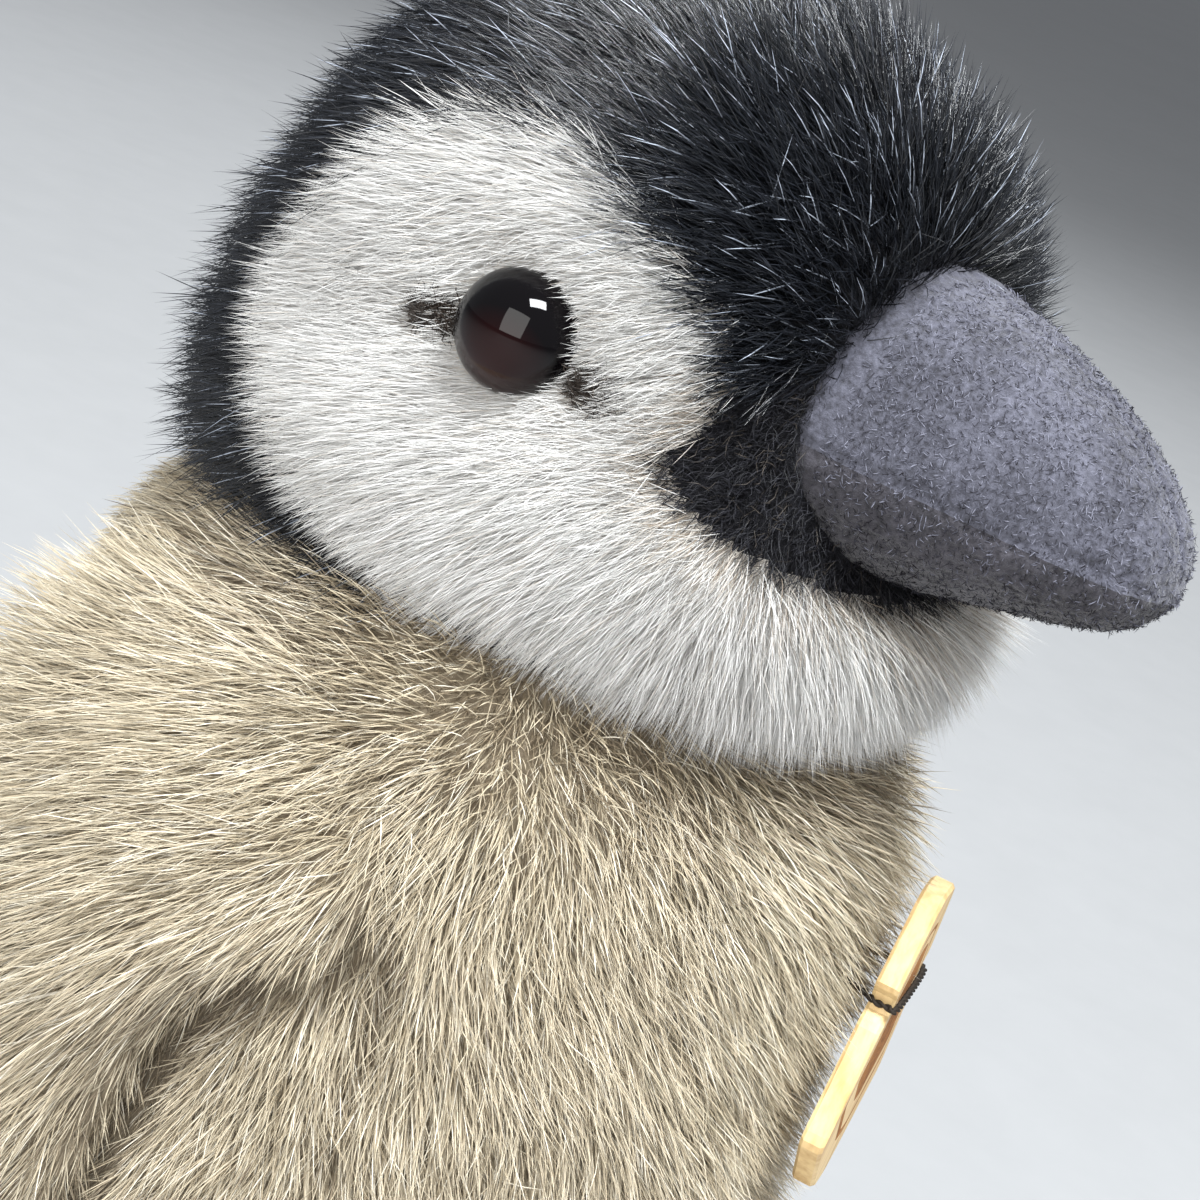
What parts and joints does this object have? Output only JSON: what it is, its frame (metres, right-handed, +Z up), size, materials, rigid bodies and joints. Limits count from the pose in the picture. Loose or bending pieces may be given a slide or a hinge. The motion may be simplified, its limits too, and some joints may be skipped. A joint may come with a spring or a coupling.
{
  "type": "plush penguin",
  "caption": "Standing plush penguin chick with sewn pile panels, stuffed beak, feet and tail, safety eyes, flippers that lift at the shoulder, and a small wooden tag on the chest.",
  "frame": {"origin": "on the floor, under the middle of the toy", "axes": "+Z up from the base to the crown, -Y the way the penguin looks, +X towards its left"},
  "size_m": [0.1096, 0.127, 0.2218],
  "materials": {
    "black_pile": "long swept pile",
    "black_short_pile": "short curly pile",
    "white_pile": "dense fine pile",
    "beige_pile": "long soft pile",
    "beak_suede": "brushed suede",
    "foot_suede": "brushed suede",
    "eye_plastic": "polished",
    "washer_plastic": "moulded",
    "fibre": "loose fibre",
    "pellet_cloth": "plain weave",
    "thread": "twisted",
    "wood": "bare, sanded"
  },
  "bodies": {
    "toy_body": {"base_panel": "foot_suede", "beak_lower": "beak_suede", "beak_stuffing": "fibre", "beak_upper_left": "beak_suede", "beak_upper_right": "beak_suede", "body_back_left": "beige_pile", "body_back_right": "beige_pile", "body_front": "beige_pile", "body_stuffing": "fibre", "cheek_left": "white_pile", "cheek_right": "white_pile", "eye_left": "eye_plastic", "eye_right": "eye_plastic", "eye_stitch_front_left": "thread", "eye_stitch_front_right": "thread", "eye_stitch_rear_left": "thread", "eye_stitch_rear_right": "thread", "eye_washer_left": "washer_plastic", "eye_washer_right": "washer_plastic", "foot_left_sole": "foot_suede", "foot_left_stuffing": "fibre", "foot_left_upper": "foot_suede", "foot_right_sole": "foot_suede", "foot_right_stuffing": "fibre", "foot_right_upper": "foot_suede", "head_cap_left": "black_pile", "head_cap_right": "black_pile", "head_stuffing": "fibre", "lore_left": "black_short_pile", "lore_right": "black_short_pile", "neck_band": "black_short_pile", "pellet_bag": "pellet_cloth", "tag_cord": "thread", "tail_lower": "beige_pile", "tail_stuffing": "fibre", "tail_upper": "beige_pile"},
    "flipper_left": {"flipper_left_outer": "beige_pile", "flipper_left_inner": "beige_pile", "flipper_left_stuffing": "fibre"},
    "flipper_right": {"flipper_right_outer": "beige_pile", "flipper_right_inner": "beige_pile", "flipper_right_stuffing": "fibre"},
    "tag": {"wooden_tag": "wood"}
  },
  "joints": [
    {"name": "flipper_left_lift", "type": "hinge", "parent": "toy_body", "child": "flipper_left", "pos_m": [0.0428, 0.0091, 0.133], "axis": [0.1736, -0.9848, 0], "range_deg": [0, 70]},
    {"name": "flipper_right_lift", "type": "hinge", "parent": "toy_body", "child": "flipper_right", "pos_m": [-0.0428, 0.0091, 0.133], "axis": [0.1736, 0.9848, 0], "range_deg": [0, 70]},
    {"name": "tag_tilt", "type": "hinge", "parent": "toy_body", "child": "tag", "pos_m": [0.01517, -0.04813, 0.1347], "axis": [0.9563, 0.2924, 0], "range_deg": [-18, 8]}
  ]
}
